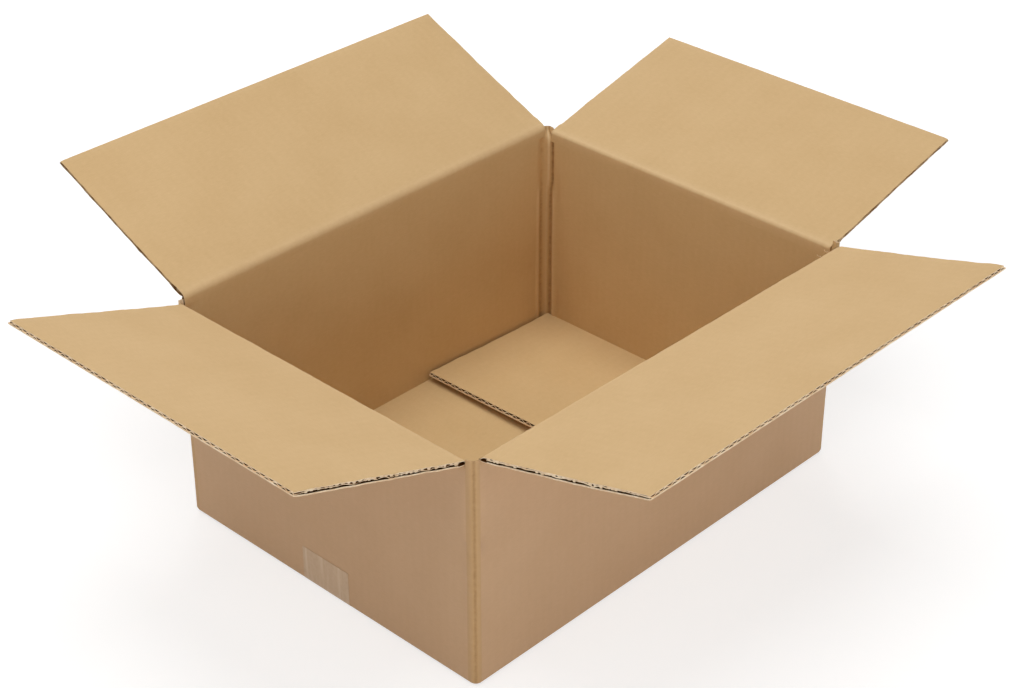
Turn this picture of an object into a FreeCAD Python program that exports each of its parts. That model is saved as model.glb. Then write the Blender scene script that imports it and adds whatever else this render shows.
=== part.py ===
import FreeCAD, Part
import Sketcher
import os

# Open slotted shipping carton of single-wall corrugated board. X runs along the long
# walls, Y along the short ones, Z up. The origin is under the middle of the box, on the
# surface that it stands on. The left end is at -X and the front wall at -Y.

# Driving sizes in millimetres and degrees. Flap angles lean outward from upright.
DRIVING_SIZES = (
    ("board", "4", "thickness of the board"),
    ("inside_length", "400", "clear length between the short walls"),
    ("inside_width", "304", "clear width between the long walls"),
    ("crease_height", "193", "fold line of the long flaps above the table"),
    ("corner_bend", "2", "inner radius of the upright corner folds"),
    ("clearance", "0.3", "free gap between boards that pass or lie on each other"),
    ("long_flap_play", "2", "gap between the sides of a long flap and the short walls"),
    ("short_flap_play", "1", "gap between the sides of a short flap and the glued tab"),
    ("meeting_gap", "0.6", "gap between the two long top flaps when they are shut"),
    ("fold_back", "135", "how far a top flap leans outward at its limit"),
    ("front_angle", "74.6", "lean of the front top flap"),
    ("back_angle", "66.1", "lean of the back top flap"),
    ("left_angle", "71.9", "lean of the left top flap"),
    ("right_angle", "76", "lean of the right top flap"),
    ("seam_gap", "2", "gap under the tape between the two long bottom flaps"),
    ("short_bottom_flap", "151", "length of the short bottom flaps from the wall's middle"),
    ("flap_lift", "3", "how far the free edge of a short bottom flap has sprung up"),
    ("fold_sag", "0.6", "how far a corner's foot stays above the long bottom flaps"),
    ("tab_width", "35", "width of the glued tab inside the front wall"),
    ("tab_thickness", "3", "thickness of the crushed glued tab"),
    ("tab_margin", "2", "gap above and below the glued tab"),
    ("tab_taper", "9", "height lost at each end of the glued tab's free edge"),
    ("liner", "0.5", "thickness of each flat liner sheet"),
    ("medium", "0.5", "thickness of the wave sheet at its crests"),
    ("web", "0.64", "thickness of the wave sheet's slopes, along the board"),
    ("flute_pitch", "8", "distance from crest to crest"),
    ("crest_width", "2", "flat length of a crest"),
    ("edge_land", "1", "least solid board beside the outermost flute"),
    ("crush_length", "8", "crushed, solid band of a flap next to its fold"),
    ("tape_width", "50", "width of the seam tape"),
    ("tape_thickness", "0.2", "thickness of the seam tape"),
    ("tape_height", "32", "how far the tape climbs both short walls"),
)

# Places that follow from the driving sizes, written as the document's expressions
INNER_X = "(sizes.inside_length / 2)"
INNER_Y = "(sizes.inside_width / 2)"
OUTER_X = "(sizes.inside_length / 2 + sizes.board)"
OUTER_Y = "(sizes.inside_width / 2 + sizes.board)"
FOLD_X = "(sizes.inside_length / 2 + sizes.board / 2)"
FOLD_Y = "(sizes.inside_width / 2 + sizes.board / 2)"
OUTER_BEND = "(sizes.corner_bend + sizes.board)"
LONG_HALF = f"({INNER_X} - sizes.long_flap_play)"
SHORT_HALF = f"({INNER_Y} - sizes.tab_thickness - sizes.short_flap_play)"
# The short flaps fold first, so their fold line is one board and a free gap lower
SCORE_OFFSET = "(sizes.board + sizes.clearance)"
LONG_CREASE = "(sizes.crease_height)"
SHORT_CREASE = f"({LONG_CREASE} - {SCORE_OFFSET})"
BEAD_RADIUS = "(sizes.board / 2)"
SCOOP_RADIUS = "(sizes.board / 2 + sizes.clearance)"
LONG_FLAP_LENGTH = "(sizes.inside_width / 2 + sizes.board / 2 - sizes.meeting_gap / 2)"
SHORT_FLAP_LENGTH = f"({LONG_FLAP_LENGTH} + {SCORE_OFFSET})"
UNDERSIDE = "(sizes.tape_thickness)"
FOOT = "(sizes.tape_thickness + sizes.fold_sag)"
FOOT_RADIUS = "(sizes.board - sizes.fold_sag)"
FOOT_BEND = "(sizes.tape_thickness + sizes.board)"
LONG_FLOOR_TOP = "(sizes.tape_thickness + sizes.board)"
SHORT_FLOOR = "(sizes.tape_thickness + sizes.board + sizes.clearance)"
SHORT_FLOOR_TOP = f"({SHORT_FLOOR} + sizes.board)"
FOLD_LEG_TOP = f"({SHORT_FLOOR_TOP} + sizes.board)"
SLOT_FLOOR = f"({SHORT_CREASE} - {SCOOP_RADIUS})"
FREE_EDGE_X = f"({FOLD_X} - sizes.short_bottom_flap)"

# The score: a slope on a wall's outer top that a flap meets when it is folded back.
# It touches a circle round the fold line, level at SCORE_INSET and on the face at SCORE_DROP.
FOLD_BACK = "(sizes.fold_back * 1 deg)"
SCORE_INSET = f"({SCOOP_RADIUS} * (1 - sin({FOLD_BACK})) / cos({FOLD_BACK}))"
SCORE_DROP = f"(({SCOOP_RADIUS} - cos({FOLD_BACK}) * sizes.board / 2) / sin({FOLD_BACK}))"

# The flutes: a narrow top and a wide foot, so that the wave's slopes keep their thickness
CORE = "(sizes.board - 2 * sizes.liner)"
FLUTE_DEPTH = f"({CORE} - sizes.medium)"
FLUTE_TOP_HALF = "(sizes.crest_width / 2)"
STEEPNESS = f"(sizes.medium / {FLUTE_DEPTH})"
FLUTE_FOOT_HALF = (f"((sizes.flute_pitch / 2 - {FLUTE_TOP_HALF} * (1 + {STEEPNESS}) - sizes.web)"
                   f" / (1 - {STEEPNESS}))")
INNER_LINER_FACE = "(-sizes.board / 2 + sizes.liner)"
OUTER_LINER_FACE = "(sizes.board / 2 - sizes.liner)"

TOLERANCE = 1e-6

doc = FreeCAD.newDocument("open_carton")
sheet = doc.addObject("Spreadsheet::Sheet", "sizes")
for row, (alias, number, meaning) in enumerate(DRIVING_SIZES, start=1):
    sheet.set(f"A{row}", meaning)
    sheet.set(f"B{row}", number)
    sheet.setAlias(f"B{row}", alias)
doc.recompute()


def value(expression):
    """Number that an expression of the sheet's sizes gives."""
    result = sheet.evalExpression(expression)
    return float(getattr(result, "Value", result))


def new_body(label):
    body = doc.addObject("PartDesign::Body", label)
    body.Label = label
    return body


def new_sketch(body, name, plane, height="0"):
    """Sketch on one of the body's own origin planes, or height along its normal."""
    sketch = body.newObject("Sketcher::SketchObject", name)
    origin_plane = next(part for part in body.Origin.OriginFeatures if part.Role == plane)
    sketch.AttachmentSupport = [(origin_plane, "")]
    sketch.MapMode = "FlatFace"
    sketch.setExpression("AttachmentOffset.Base.z", height)
    return sketch


def tie(sketch, kind, references, expression, number):
    """Dimension in a sketch whose value is bound to an expression."""
    index = sketch.addConstraint(Sketcher.Constraint(kind, *references, number))
    sketch.setExpression(f"Constraints[{index}]", expression)


def place(sketch, edge, end, across, up):
    """Fix one end of an edge at a place measured from the sketch's origin."""
    for kind, expression in (("DistanceX", across), ("DistanceY", up)):
        number = value(expression)
        if number < 0:
            tie(sketch, kind, (edge, end, -1, 1), f"-({expression})", -number)
        else:
            tie(sketch, kind, (-1, 1, edge, end), expression, number)


def outline(sketch, corners):
    """Closed outline through the corners, given as expressions (across, up).

    A corner with three more expressions (radius, centre across, centre up) is followed by
    an arc, and any other by a straight edge.
    """
    starts = []
    for index, corner in enumerate(corners):
        following = corners[(index + 1) % len(corners)]
        here = FreeCAD.Vector(value(corner[0]), value(corner[1]), 0)
        there = FreeCAD.Vector(value(following[0]), value(following[1]), 0)
        start, finish = 1, 2
        if len(corner) == 2:
            edge = sketch.addGeometry(Part.LineSegment(here, there))
        else:
            centre = FreeCAD.Vector(value(corner[3]), value(corner[4]), 0)
            spoke, next_spoke = here - centre, there - centre
            if spoke.cross(next_spoke).z < 0:
                spoke, next_spoke = next_spoke, spoke
                start, finish = 2, 1
            circle = Part.Circle(centre, FreeCAD.Vector(0, 0, 1), value(corner[2]))
            begin = FreeCAD.Vector(1, 0, 0).getAngle(spoke)
            if spoke.y < 0:
                begin = -begin
            edge = sketch.addGeometry(Part.ArcOfCircle(circle, begin, begin + spoke.getAngle(next_spoke)))
        starts.append((edge, start, finish))
    for index, (edge, start, finish) in enumerate(starts):
        next_edge, next_start, _ = starts[(index + 1) % len(starts)]
        sketch.addConstraint(Sketcher.Constraint("Coincident", edge, finish, next_edge, next_start))
        place(sketch, edge, start, corners[index][0], corners[index][1])
        if len(corners[index]) > 2:
            tie(sketch, "Radius", (edge,), corners[index][2], value(corners[index][2]))


def rectangle(sketch, half_across, half_up):
    outline(sketch, (
        (f"-{half_across}", f"-{half_up}"), (half_across, f"-{half_up}"),
        (half_across, half_up), (f"-{half_across}", half_up)))


def rounded_rectangle(sketch, half_across, half_up, radius):
    """Rectangle about the origin whose four corners are quarter circles."""
    corners = []
    for side_x, side_y in ((1, -1), (1, 1), (-1, 1), (-1, -1)):
        centre = (f"({side_x} * ({half_across} - {radius}))", f"({side_y} * ({half_up} - {radius}))")
        on_side = (f"({side_x} * {half_across})", centre[1])
        on_end = (centre[0], f"({side_y} * {half_up})")
        entry, leave = (on_end, on_side) if side_x * side_y < 0 else (on_side, on_end)
        corners.append((*entry, radius, *centre))
        corners.append(leave)
    outline(sketch, corners)


def mirrored_outlines(sketch, corners):
    """The same outline on both sides of the sketch's upright axis."""
    for side in (1, -1):
        turned = []
        for corner in corners:
            flipped = [f"({side} * {corner[0]})", corner[1]]
            if len(corner) > 2:
                flipped += [corner[2], f"({side} * {corner[3]})", corner[4]]
            turned.append(tuple(flipped))
        outline(sketch, turned)


def pad(body, sketch, length, sides="Symmetric", backwards=False):
    feature = body.newObject("PartDesign::Pad", sketch.Name + "_pad")
    feature.Profile = sketch
    feature.SideType = sides
    feature.Reversed = backwards
    feature.setExpression("Length", length)
    return feature


def pocket(body, sketch, length, sides="Symmetric", backwards=False):
    """Cut that has to take something away."""
    doc.recompute()
    before = body.Shape.Volume
    feature = body.newObject("PartDesign::Pocket", sketch.Name + "_cut")
    feature.Profile = sketch
    feature.SideType = sides
    feature.Reversed = backwards
    feature.setExpression("Length", length)
    doc.recompute()
    if body.Shape.Volume > before - TOLERANCE:
        raise RuntimeError(feature.Name + " cuts nothing")
    return feature


def outer_foot_edges(shape):
    """Names of the edges round the outside of the ring's lower end."""
    foot = value(FOOT)
    middle = (value(FOLD_X), value(FOLD_Y))
    bend = value("sizes.corner_bend") + value("sizes.board") / 2
    names = []
    for number, edge in enumerate(shape.Edges, start=1):
        level = all(abs(vertex.Z - foot) < TOLERANCE for vertex in edge.Vertexes)
        point = edge.valueAt((edge.FirstParameter + edge.LastParameter) / 2)
        over_x = max(abs(point.x) - (middle[0] - bend), 0)
        over_y = max(abs(point.y) - (middle[1] - bend), 0)
        if level and over_x ** 2 + over_y ** 2 > bend ** 2:
            names.append(f"Edge{number}")
    return names


def make_walls(body):
    """Ring of four walls with rounded corner folds, down to the corners' feet."""
    ring = new_sketch(body, "wall_ring", "XY_Plane", FOOT)
    rounded_rectangle(ring, OUTER_X, OUTER_Y, OUTER_BEND)
    rounded_rectangle(ring, INNER_X, INNER_Y, "(sizes.corner_bend)")
    walls = pad(body, ring, f"{SLOT_FLOOR} - {FOOT}", "One side")
    doc.recompute()
    rounding = body.newObject("PartDesign::Fillet", "foot_rounding")
    rounding.Base = (walls, outer_foot_edges(walls.Shape))
    rounding.setExpression("Radius", FOOT_RADIUS)
    # Between the slots the flaps' own folds take the place of the ring's lower end
    for name, half_x, half_y in (
            ("long_fold_gap", LONG_HALF, f"({OUTER_Y} + sizes.board)"),
            ("short_fold_gap", f"({OUTER_X} + sizes.board)", SHORT_HALF)):
        gap = new_sketch(body, name, "XY_Plane", UNDERSIDE)
        rectangle(gap, half_x, half_y)
        pocket(body, gap, f"{FOLD_LEG_TOP} - {UNDERSIDE}", "One side", backwards=True)


def make_long_panels(body):
    """Both long walls between the slots, each with its scored top and its bottom flap."""
    section = new_sketch(body, "long_panel", "YZ_Plane")
    seam = "(sizes.seam_gap / 2)"
    mirrored_outlines(section, (
        (OUTER_Y, FOOT_BEND),
        (OUTER_Y, f"({LONG_CREASE} - {SCORE_DROP})"),
        (f"({FOLD_Y} + {SCORE_INSET})", f"({LONG_CREASE} - {SCOOP_RADIUS})"),
        (INNER_Y, f"({LONG_CREASE} - {SCOOP_RADIUS})"),
        (INNER_Y, LONG_FLOOR_TOP),
        (seam, LONG_FLOOR_TOP),
        (seam, UNDERSIDE),
        (INNER_Y, UNDERSIDE, "(sizes.board)", INNER_Y, FOOT_BEND)))
    pad(body, section, f"2 * {LONG_HALF}")


def make_short_panels(body):
    """Folds and bottom flaps of the short walls, which lie on the long bottom flaps."""
    section = new_sketch(body, "short_panel", "XZ_Plane")
    bend_x = f"({OUTER_X} - {FOOT_RADIUS})"
    mirrored_outlines(section, (
        (OUTER_X, FOOT_BEND),
        (OUTER_X, FOLD_LEG_TOP),
        (INNER_X, FOLD_LEG_TOP),
        (INNER_X, SHORT_FLOOR_TOP),
        (FREE_EDGE_X, f"({SHORT_FLOOR_TOP} + sizes.flap_lift)"),
        (FREE_EDGE_X, f"({SHORT_FLOOR} + sizes.flap_lift)"),
        (f"({LONG_HALF} + sizes.clearance)", SHORT_FLOOR),
        (bend_x, FOOT, FOOT_RADIUS, bend_x, FOOT_BEND)))
    pad(body, section, f"2 * {SHORT_HALF}")


def make_short_scores(body):
    """Slope along the outer top of each short wall, under its flap."""
    section = new_sketch(body, "short_score", "XZ_Plane")
    top = f"({SHORT_CREASE} - {SCOOP_RADIUS} + sizes.board)"
    rise = f"(sizes.board * cos({FOLD_BACK}) / sin({FOLD_BACK}))"
    mirrored_outlines(section, (
        (f"({FOLD_X} + {SCORE_INSET})", f"({SHORT_CREASE} - {SCOOP_RADIUS})"),
        (OUTER_X, f"({SHORT_CREASE} - {SCORE_DROP})"),
        (f"({OUTER_X} + sizes.board)", f"({SHORT_CREASE} - {SCORE_DROP} + {rise})"),
        (f"({OUTER_X} + sizes.board)", top),
        (f"({FOLD_X} + {SCORE_INSET})", top)))
    pocket(body, section, f"2 * ({SHORT_HALF} + sizes.clearance)")


def make_glue_tab(body):
    """Tapered tab of the right wall, glued inside the front wall."""
    face = new_sketch(body, "glue_tab", "XZ_Plane", INNER_Y)
    low = f"({SHORT_FLOOR_TOP} + sizes.tab_margin)"
    high = f"({SLOT_FLOOR} - sizes.tab_margin)"
    free_x = f"({INNER_X} - sizes.tab_width)"
    outline(face, (
        (INNER_X, low), (INNER_X, high),
        (free_x, f"({high} - sizes.tab_taper)"), (free_x, f"({low} + sizes.tab_taper)")))
    pad(body, face, "sizes.tab_thickness", "One side", backwards=True)


def make_carton():
    """The folded sheet without its top flaps, which are bodies of their own."""
    body = new_body("carton")
    make_walls(body)
    make_long_panels(body)
    make_short_panels(body)
    make_short_scores(body)
    make_glue_tab(body)
    return body


def make_flap(label, half_width, length, fold_x, fold_y, fold_height, facing, lean):
    """Top flap with open flutes at its free edge and a rounded bead along its fold.

    Its own frame has the fold line as X, the outer face towards Y and the free edge up.
    """
    body = new_body(label)
    section = new_sketch(body, label + "_section", "YZ_Plane")
    outline(section, (
        (BEAD_RADIUS, "0"), (BEAD_RADIUS, length), (f"-{BEAD_RADIUS}", length),
        (f"-{BEAD_RADIUS}", "0", BEAD_RADIUS, "0", "0"),
        ("0", f"-{BEAD_RADIUS}", BEAD_RADIUS, "0", "0")))
    pad(body, section, f"2 * {half_width}")

    room = f"(2 * ({half_width} - sizes.edge_land - {FLUTE_FOOT_HALF}) - sizes.flute_pitch / 2)"
    pairs = f"(floor({room} / sizes.flute_pitch) + 1)"
    first = f"(-(({pairs} - 1) * sizes.flute_pitch + sizes.flute_pitch / 2) / 2)"
    second = f"({first} + sizes.flute_pitch / 2)"
    flutes = new_sketch(body, label + "_flutes", "XY_Plane", length)
    for centre, foot, top in (
            (first, INNER_LINER_FACE, f"({INNER_LINER_FACE} + {FLUTE_DEPTH})"),
            (second, OUTER_LINER_FACE, f"({OUTER_LINER_FACE} - {FLUTE_DEPTH})")):
        outline(flutes, (
            (f"({centre} - {FLUTE_FOOT_HALF})", foot), (f"({centre} + {FLUTE_FOOT_HALF})", foot),
            (f"({centre} + {FLUTE_TOP_HALF})", top), (f"({centre} - {FLUTE_TOP_HALF})", top)))
    cut = pocket(body, flutes, f"{length} - sizes.crush_length", "One side")
    row = body.newObject("PartDesign::LinearPattern", label + "_flute_row")
    row.Originals = [cut]
    row.Direction = (flutes, ["H_Axis"])
    row.setExpression("Length", f"({pairs} - 1) * sizes.flute_pitch")
    row.setExpression("Occurrences", pairs)
    body.Tip = row

    body.setExpression("Placement", f"placement(vector({fold_x}; {fold_y}; {fold_height});"
                                    f" rotationz({facing}) * rotationx(-{lean}))")
    return body


def make_seam_tape():
    """One strip along the bottom seam and up both short walls."""
    body = new_body("seam_tape")
    section = new_sketch(body, "tape_section", "XZ_Plane")
    bend_x = f"({OUTER_X} - {FOOT_RADIUS})"
    outside = (f"({OUTER_X} + sizes.tape_thickness)", f"({FOOT_RADIUS} + sizes.tape_thickness)")
    below_foot = f"({FOOT} - sizes.tape_thickness)"
    outline(section, (
        (outside[0], "sizes.tape_height"),
        (outside[0], FOOT_BEND, outside[1], bend_x, FOOT_BEND),
        (bend_x, below_foot),
        (LONG_HALF, "0"),
        (f"-{LONG_HALF}", "0"),
        (f"-{bend_x}", below_foot, outside[1], f"-{bend_x}", FOOT_BEND),
        (f"-{outside[0]}", FOOT_BEND),
        (f"-{outside[0]}", "sizes.tape_height"),
        (f"-{OUTER_X}", "sizes.tape_height"),
        (f"-{OUTER_X}", FOOT_BEND, FOOT_RADIUS, f"-{bend_x}", FOOT_BEND),
        (f"-{bend_x}", FOOT),
        (f"-{LONG_HALF}", UNDERSIDE),
        (LONG_HALF, UNDERSIDE),
        (bend_x, FOOT, FOOT_RADIUS, bend_x, FOOT_BEND),
        (OUTER_X, FOOT_BEND),
        (OUTER_X, "sizes.tape_height")))
    pad(body, section, "sizes.tape_width")
    return body


def check(sub_parts):
    """Stop before anything is written if an object failed or a shape is unsound."""
    for item in doc.Objects:
        if "Invalid" in item.State or "Error" in item.State:
            raise RuntimeError(f"{item.Name} failed: {item.State}")
    for sub_part in sub_parts:
        if sub_part.Shape.isNull() or not sub_part.Shape.isValid():
            raise RuntimeError(sub_part.Label + " has no sound shape")
        if len(sub_part.Shape.Solids) != 1:
            raise RuntimeError(sub_part.Label + " is not one solid")


sub_parts = [
    make_carton(),
    make_flap("front_flap", LONG_HALF, LONG_FLAP_LENGTH,
              "0", f"-{FOLD_Y}", LONG_CREASE, "180", "sizes.front_angle"),
    make_flap("back_flap", LONG_HALF, LONG_FLAP_LENGTH,
              "0", FOLD_Y, LONG_CREASE, "0", "sizes.back_angle"),
    make_flap("left_flap", SHORT_HALF, SHORT_FLAP_LENGTH,
              f"-{FOLD_X}", "0", SHORT_CREASE, "90", "sizes.left_angle"),
    make_flap("right_flap", SHORT_HALF, SHORT_FLAP_LENGTH,
              FOLD_X, "0", SHORT_CREASE, "-90", "sizes.right_angle"),
    make_seam_tape(),
]
doc.recompute()
check(sub_parts)

os.makedirs("parts", exist_ok=True)
for sub_part in sub_parts:
    sub_part.Shape.exportStep(f"parts/{sub_part.Label}.step")
    print(f"{sub_part.Label}: {sub_part.Shape.Volume / 1000:.1f} cm3, {len(sub_part.Shape.Faces)} faces")
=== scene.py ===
import math
import bmesh
import bpy
import numpy as np
from mathutils import Matrix, Vector, noise


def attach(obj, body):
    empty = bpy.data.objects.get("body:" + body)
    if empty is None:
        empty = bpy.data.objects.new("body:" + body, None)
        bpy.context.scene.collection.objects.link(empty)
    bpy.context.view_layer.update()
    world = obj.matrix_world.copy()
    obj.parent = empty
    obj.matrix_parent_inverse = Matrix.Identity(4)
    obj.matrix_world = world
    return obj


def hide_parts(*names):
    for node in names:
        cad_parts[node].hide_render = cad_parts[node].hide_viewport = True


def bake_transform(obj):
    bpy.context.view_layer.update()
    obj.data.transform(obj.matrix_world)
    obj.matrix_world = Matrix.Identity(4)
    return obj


# Open shipping carton of fluted board. All sizes are in metres. A panel's own frame has X
# along its fold, Y outward and Z away from the wall's foot, with the fold line at Z = 0.
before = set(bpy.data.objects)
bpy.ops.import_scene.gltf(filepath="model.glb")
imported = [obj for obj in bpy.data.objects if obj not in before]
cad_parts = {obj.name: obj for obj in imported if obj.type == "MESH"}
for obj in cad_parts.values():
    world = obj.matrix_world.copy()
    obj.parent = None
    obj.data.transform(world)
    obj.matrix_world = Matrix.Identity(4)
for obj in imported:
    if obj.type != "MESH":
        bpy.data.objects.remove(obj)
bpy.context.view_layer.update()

MM = 0.001
BOARD = 4 * MM
HALF_BOARD = BOARD / 2
LINER = 0.5 * MM
MEDIUM = 0.45 * MM
WAVE_HEIGHT = HALF_BOARD - LINER - MEDIUM / 2
FLUTE_PITCH = 8 * MM
INNER_X = 200 * MM
INNER_Y = 152 * MM
OUTER_X = INNER_X + BOARD
OUTER_Y = INNER_Y + BOARD
CORNER_RADIUS = 6 * MM
LONG_FOLD = 193 * MM
SHORT_FOLD = 188.7 * MM
FOLD_REACH = 8 * MM

# Panel: fold centre, facing, lean at rest, half width, flap length, pattern offset
PANELS = {
    "front": ((0, -154 * MM, LONG_FOLD), 180, 74.6, 198 * MM, 153.7 * MM, (1.0, 0.3)),
    "back": ((0, 154 * MM, LONG_FOLD), 0, 66.1, 198 * MM, 153.7 * MM, (2.0, 0.9)),
    "left": ((-202 * MM, 0, SHORT_FOLD), 90, 71.9, 148 * MM, 158 * MM, (3.0, 1.7)),
    "right": ((202 * MM, 0, SHORT_FOLD), -90, 76.0, 148 * MM, 158 * MM, (4.0, 2.6)),
}
# How softly each fold is rounded, how far its flap curls up at the tip, and how far handling has
# pinched the side cuts (share of the board)
FOLD_RADIUS = {"front": 12 * MM, "back": 7 * MM, "left": 8 * MM, "right": 3.2 * MM}
TIP_CURL = {"front": 0.2 * MM, "back": 0.3 * MM, "left": 2.6 * MM, "right": 0.5 * MM}
SIDE_PINCH = {"front": 0.03, "back": 0.46, "left": 0.06, "right": 0.50}
TIP_PINCH = 0.35
# Sides whose cuts are frayed. The cuts of the others are pressed flat.
FRAYED = ("front", "left")
# How far the inner liner stays behind the outer one, at the side cuts and at the tip
FRAYED_INSET = (0.6 * MM, 0.8 * MM)
PRESSED_INSET = (0.2 * MM, 0.3 * MM)
# How much the outer liner's cut swells on a top flap and on a bottom flap
TOP_SWELL = 0.6 * MM
BOTTOM_SWELL = 1.0 * MM
# How far in from a side cut the board is pinched and how far it wanders
PINCH_REACH = 7 * MM
WANDER_REACH = 9 * MM
WANDER = 0.35 * MM
# Bow of a flap: its uneven part, and the even part as a share of it
BOW = 0.5 * MM
HOLLOW = 0.8


def ripple(x, y, z, seed=0.0):
    """Smooth wander between about -1 and 1, the same on every run."""
    return noise.noise(Vector((x, y, z + 7.31 * seed)))


def blend_step(value):
    value = min(max(value, 0.0), 1.0)
    return value * value * (3 - 2 * value)


# Materials

def add_node(tree, kind, inputs=None, **settings):
    """Node whose inputs are set, or joined where a socket is given."""
    node = tree.nodes.new(kind)
    for name, setting in settings.items():
        setattr(node, name, setting)
    for name, source in (inputs or {}).items():
        if isinstance(source, bpy.types.NodeSocket):
            tree.links.new(source, node.inputs[name])
        else:
            node.inputs[name].default_value = source
    return node


def new_material(name):
    material = bpy.data.materials.new(name)
    material.use_nodes = True
    material.node_tree.nodes.clear()
    return material, material.node_tree


def math_node(tree, operation, first, second=0.0):
    return add_node(tree, "ShaderNodeMath", {0: first, 1: second}, operation=operation).outputs[0]


def mix_colour(tree, factor, first, second, mode="MIX"):
    mix = add_node(tree, "ShaderNodeMix", data_type="RGBA", blend_type=mode)
    for index, source in ((0, factor), (6, first), (7, second)):
        if isinstance(source, bpy.types.NodeSocket):
            tree.links.new(source, mix.inputs[index])
        else:
            mix.inputs[index].default_value = source
    return mix.outputs[2]


def ranged(tree, source, low, high, to_low=0.0, to_high=1.0):
    node = add_node(tree, "ShaderNodeMapRange", {0: source, 1: low, 2: high, 3: to_low, 4: to_high},
                    clamp=True)
    return node.outputs[0]


def tint(red, green, blue):
    """Linear colour of an sRGB triple from 0 to 255."""
    def linear(level):
        level /= 255
        return level / 12.92 if level <= 0.04045 else ((level + 0.055) / 1.055) ** 2.4
    return (linear(red), linear(green), linear(blue), 1.0)


def speckle(tree, place, scale, detail, roughness=0.5):
    """Noise value at each place."""
    settings = {"Vector": place, "Scale": scale, "Detail": detail, "Roughness": roughness}
    return add_node(tree, "ShaderNodeTexNoise", settings).outputs[0]


def kraft(name, base, pale, dark, painted_bend_tint, painted_shade_tint, roughness, washboard, sheen_spots=0.0):
    """Brown liner paper: clouds, fibres and flecks that follow the sheet, ribbed by the flutes."""
    material, tree = new_material(name)
    sheet = add_node(tree, "ShaderNodeUVMap", uv_map="sheet").outputs[0]
    # The map is in metres. The pattern is laid out in millimetres.
    spot = add_node(tree, "ShaderNodeVectorMath", {0: sheet, 3: 1000.0}, operation="SCALE").outputs[0]
    stretched = add_node(tree, "ShaderNodeMapping", {"Vector": spot, "Scale": (0.16, 1.3, 1.0)}).outputs[0]
    clouds = speckle(tree, spot, 0.018, 4.0, 0.55)
    blotches = speckle(tree, spot, 0.24, 5.0, 0.7)
    fibres = speckle(tree, stretched, 0.9, 4.0, 0.7)
    flecks = speckle(tree, spot, 1.7, 2.0)
    # A wave texture of scale 1 has a band every pi / 10 units
    rib_scale = math.pi / 10 / (FLUTE_PITCH / MM)
    ribs = add_node(tree, "ShaderNodeTexWave", {"Vector": spot, "Scale": rib_scale}, wave_type="BANDS",
                    bands_direction="X", wave_profile="SIN").outputs[1]
    colour = mix_colour(tree, ranged(tree, clouds, 0.3, 0.7), dark, pale)
    colour = mix_colour(tree, 0.72, colour, base)
    colour = mix_colour(tree, ranged(tree, blotches, 0.35, 0.75, 0.0, 0.45), colour, pale)
    colour = mix_colour(tree, ranged(tree, fibres, 0.3, 0.62, 0.32, 0.0), colour, dark)
    colour = mix_colour(tree, ranged(tree, flecks, 0.30, 0.20, 0.0, 0.5), colour,
                        tuple(level * 0.42 for level in dark[:3]) + (1.0,))
    colour = mix_colour(tree, ranged(tree, flecks, 0.72, 0.80, 0.0, 0.4), colour,
                        tint(240, 220, 186))
    colour = mix_colour(tree, math_node(tree, "MULTIPLY", ribs, washboard), colour, dark)
    # Painted light from a point attribute: up to 0.5 a darker, yellower tone painted where a bend loses the
    # flat paper's sheen, up to 1 painted shade in grooves, creases and at the wall's foot, and below zero a
    # painted highlight on ridges and folds
    wear = add_node(tree, "ShaderNodeAttribute", attribute_name="fold_painted_light").outputs[2]
    painted_light_level = math_node(tree, "MULTIPLY", wear, ranged(tree, blotches, 0.35, 0.65, 0.7, 1.0))
    colour = mix_colour(tree, ranged(tree, painted_light_level, 0.0, 0.5), colour, painted_bend_tint)
    colour = mix_colour(tree, ranged(tree, painted_light_level, 0.5, 1.0, 0.0, 0.85), colour, painted_shade_tint)
    colour = mix_colour(tree, ranged(tree, painted_light_level, 0.0, -1.0), colour, tint(232, 203, 160))
    height = math_node(tree, "MULTIPLY", fibres, 0.6)
    height = math_node(tree, "ADD", height, math_node(tree, "MULTIPLY", blotches, 0.5))
    height = math_node(tree, "ADD", height, math_node(tree, "MULTIPLY", ribs, -14.0 * washboard))
    bump = add_node(tree, "ShaderNodeBump", {"Height": height, "Strength": 0.35,
                                             "Distance": 0.00012}).outputs[0]
    gloss = ranged(tree, blotches, 0.3, 0.7, roughness - 0.07, roughness + 0.07)
    shader = add_node(tree, "ShaderNodeBsdfPrincipled", {"Base Color": colour, "Roughness": gloss,
                                                         "Normal": bump})
    shader.inputs["Specular IOR Level"].default_value = 0.3 + sheen_spots
    add_node(tree, "ShaderNodeOutputMaterial", {"Surface": shader.outputs[0]})
    return material


def paper_edge(name, pale, dark, roughness=0.9):
    """Cut or torn paper edge: pale fibre with small brown gaps."""
    material, tree = new_material(name)
    place = add_node(tree, "ShaderNodeTexCoord").outputs["Object"]
    fine = speckle(tree, place, 900.0, 4.0)
    coarse = speckle(tree, place, 160.0, 3.0)
    colour = mix_colour(tree, ranged(tree, coarse, 0.35, 0.65), dark, pale)
    colour = mix_colour(tree, ranged(tree, fine, 0.30, 0.45, 0.35, 0.0), colour, dark)
    bump = add_node(tree, "ShaderNodeBump", {"Height": fine, "Strength": 0.5,
                                             "Distance": 0.0003}).outputs[0]
    shader = add_node(tree, "ShaderNodeBsdfPrincipled", {"Base Color": colour, "Roughness": roughness,
                                                         "Normal": bump})
    shader.inputs["Specular IOR Level"].default_value = 0.0
    add_node(tree, "ShaderNodeOutputMaterial", {"Surface": shader.outputs[0]})
    return material


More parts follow.
